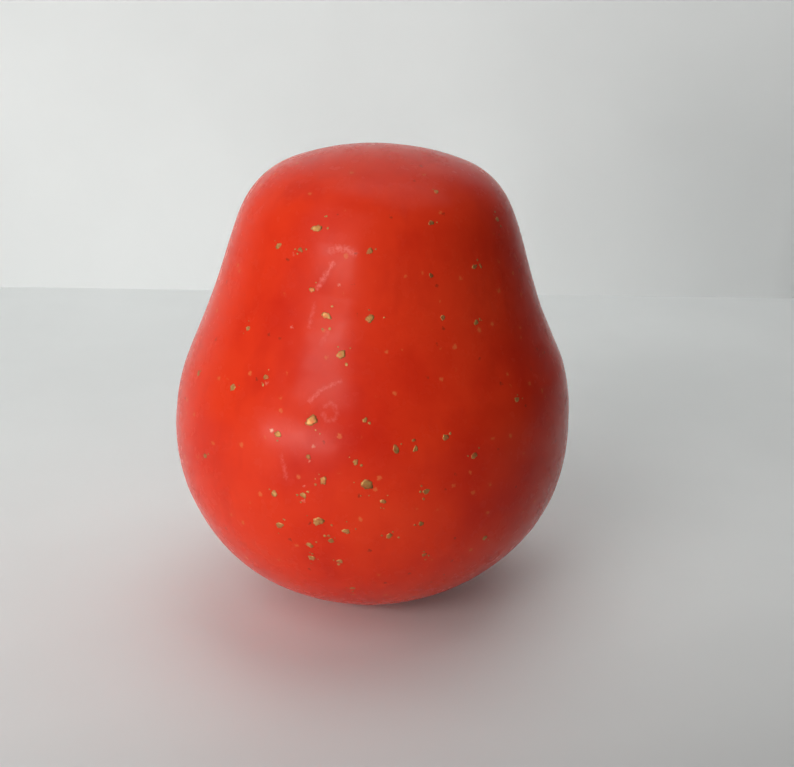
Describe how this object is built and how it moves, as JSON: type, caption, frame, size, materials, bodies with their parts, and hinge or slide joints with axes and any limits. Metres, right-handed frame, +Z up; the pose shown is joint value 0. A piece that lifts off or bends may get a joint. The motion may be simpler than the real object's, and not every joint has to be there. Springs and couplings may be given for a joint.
{
  "type": "lacquered papier-mache roly-poly",
  "caption": "Weighted, round-bottomed papier-mache figure with a shallow waist and domed head, in tomato-red lacquer with gold leaf flecks; rocks and rights itself.",
  "frame": {"origin": "middle of the flat foot, on the surface it stands on", "axes": "+Z up along the body's axis, front is -Y, the two body halves meet on Y = 0"},
  "size_m": [0.1028, 0.1029, 0.1194],
  "materials": {
    "lacquer": "gloss lacquer",
    "chalk_ground": "matte chalk and glue ground",
    "papier_mache": "rough papier-mache",
    "base_papier_mache": "rough papier-mache",
    "washi": "fibrous washi",
    "clay": "dry unfired clay",
    "cover_paper": "kraft paper",
    "gold_leaf": "gold leaf"
  },
  "bodies": {
    "root": {"lacquer_coat": "lacquer", "ground_coat": "chalk_ground", "front_shell": "papier_mache", "back_shell": "papier_mache", "base_cup": "base_papier_mache", "seam_strip_left": "washi", "seam_strip_right": "washi", "seam_strip_crown": "washi", "base_seam_strip": "washi", "clay_weight": "clay", "weight_cover": "cover_paper", "gold_leaf_flakes": "gold_leaf"}
  },
  "joints": []
}
